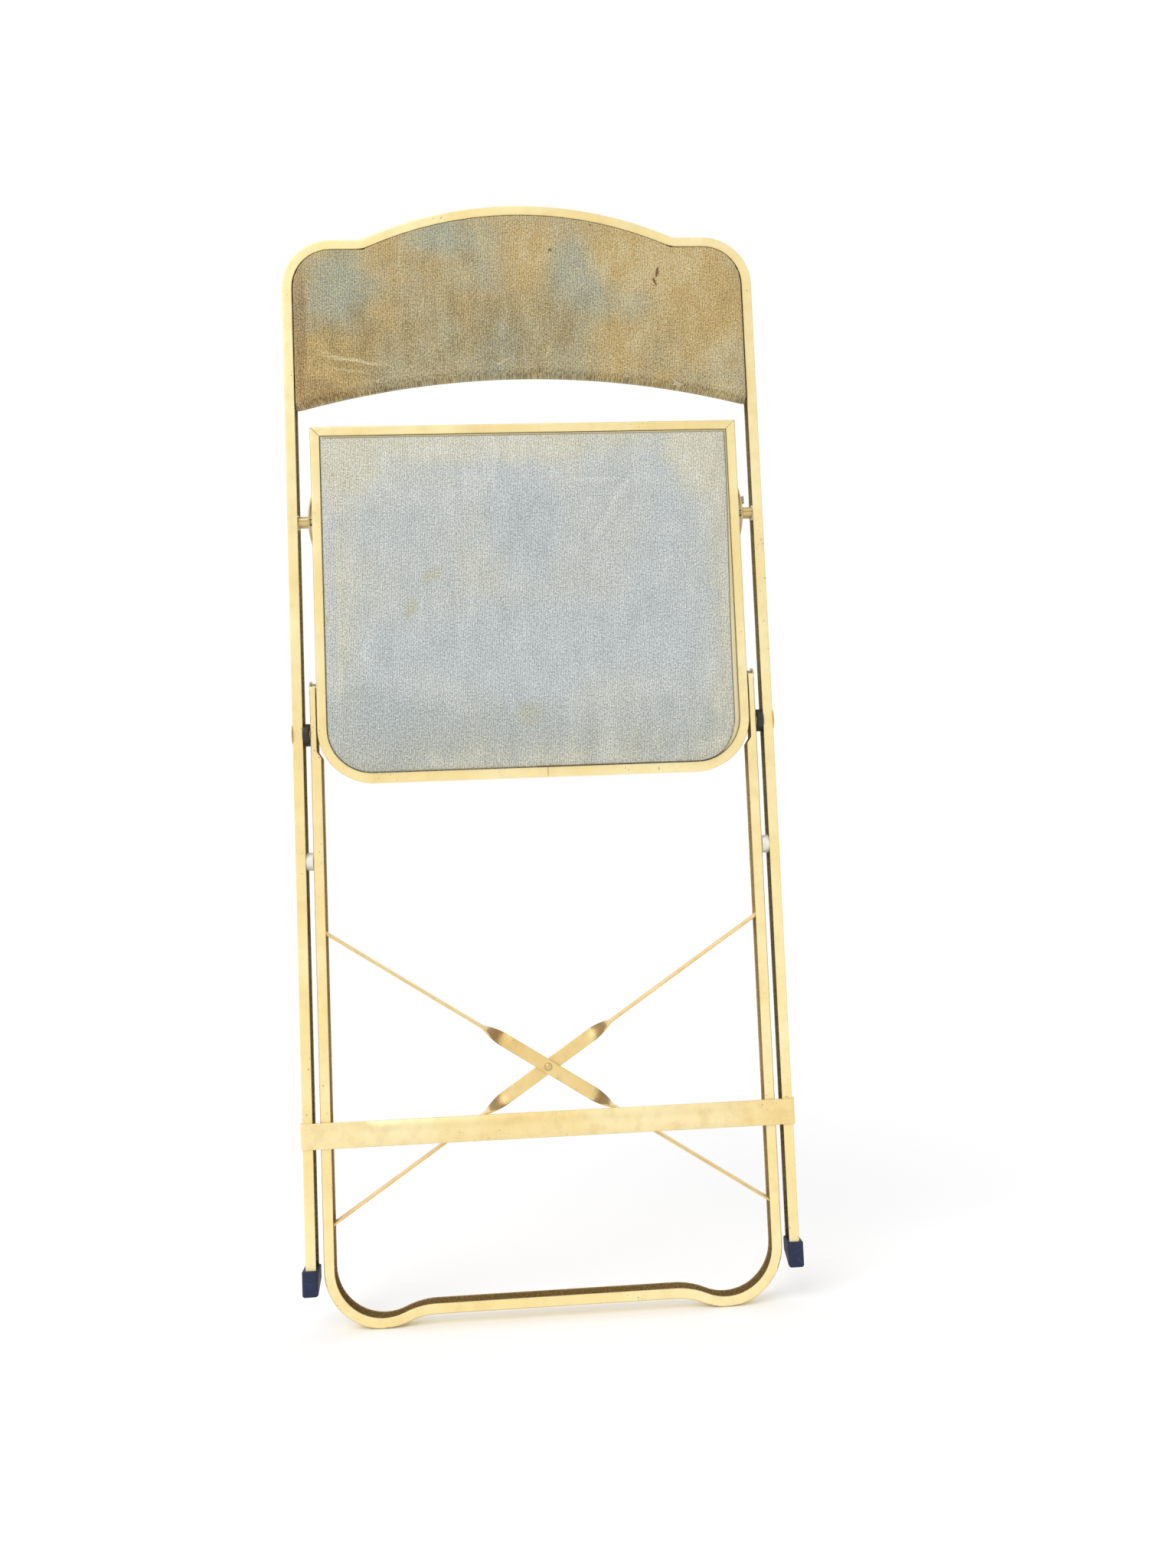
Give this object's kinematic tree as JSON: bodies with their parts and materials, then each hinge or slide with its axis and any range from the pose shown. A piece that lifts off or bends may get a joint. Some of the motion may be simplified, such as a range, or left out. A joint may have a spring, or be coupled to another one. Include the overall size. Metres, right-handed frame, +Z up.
{
  "type": "folding chair",
  "caption": "Flat-folding upholstered chair: two crossed frames of bent steel channel, padded seat and arched padded back, riveted cross brace and capped front feet.",
  "frame": {"origin": "centre of the folded chair's bounding box at its lowest point", "axes": "+Z up, +X to the right when looking at the seat's top face, -Y to the front; the chair is folded flat and upright. In use the outer frame leans back 27.7 degrees"},
  "size_m": [0.4116, 0.0278, 0.9425],
  "materials": {
    "frame_enamel": "pale gold baked enamel, worn and chipped",
    "back_velvet": "ribbed velvet, faded olive gold and grey blue",
    "seat_velvet": "ribbed velvet, faded pale grey blue",
    "panel_board": "brown pressed hardboard",
    "cap_vinyl": "moulded navy vinyl",
    "rivet_steel": "dull plated steel",
    "white_nylon": "moulded white nylon",
    "black_nylon": "moulded black nylon"
  },
  "bodies": {
    "outer_frame": {"outer_channel": "frame_enamel", "front_crossbar": "frame_enamel", "back_board": "panel_board", "back_pad": "back_velvet", "foot_cap_left": "cap_vinyl", "foot_cap_right": "cap_vinyl", "crossing_rivet_left": "rivet_steel", "crossing_rivet_right": "rivet_steel", "crossing_spacer_left": "white_nylon", "crossing_spacer_right": "white_nylon", "stop_rivet_left": "frame_enamel", "stop_rivet_right": "frame_enamel", "stop_sleeve_left": "black_nylon", "stop_sleeve_right": "black_nylon"},
    "rear_frame": {"rear_channel": "frame_enamel", "brace_strap_front": "frame_enamel", "brace_strap_rear": "frame_enamel", "brace_centre_rivet": "frame_enamel", "brace_end_rivets": "rivet_steel", "seat_pivot_rivet_left": "rivet_steel", "seat_pivot_rivet_right": "rivet_steel", "seat_pivot_spacer_left": "rivet_steel", "seat_pivot_spacer_right": "rivet_steel"},
    "seat": {"seat_rim": "frame_enamel", "seat_board": "panel_board", "seat_pad": "seat_velvet", "pin_plate_left": "frame_enamel", "pin_plate_right": "frame_enamel", "seat_pin_left": "rivet_steel", "seat_pin_right": "rivet_steel", "pin_tube_left": "frame_enamel", "pin_tube_right": "frame_enamel", "guide_bush_left": "white_nylon", "guide_bush_right": "white_nylon"}
  },
  "joints": [
    {"name": "rear_frame_fold", "type": "hinge", "parent": "outer_frame", "child": "rear_frame", "pos_m": [0, 0.00313, 0.3806], "axis": [1, 0, 0], "range_deg": [0, 65.1]},
    {"name": "seat_fold", "type": "hinge", "parent": "rear_frame", "child": "seat", "pos_m": [0, 0.00313, 0.5246], "axis": [1, 0, 0], "range_deg": [-130.2, 0]}
  ],
  "couplings": [
    {"joint": "seat_fold", "follows": "rear_frame_fold", "ratio": -2}
  ]
}
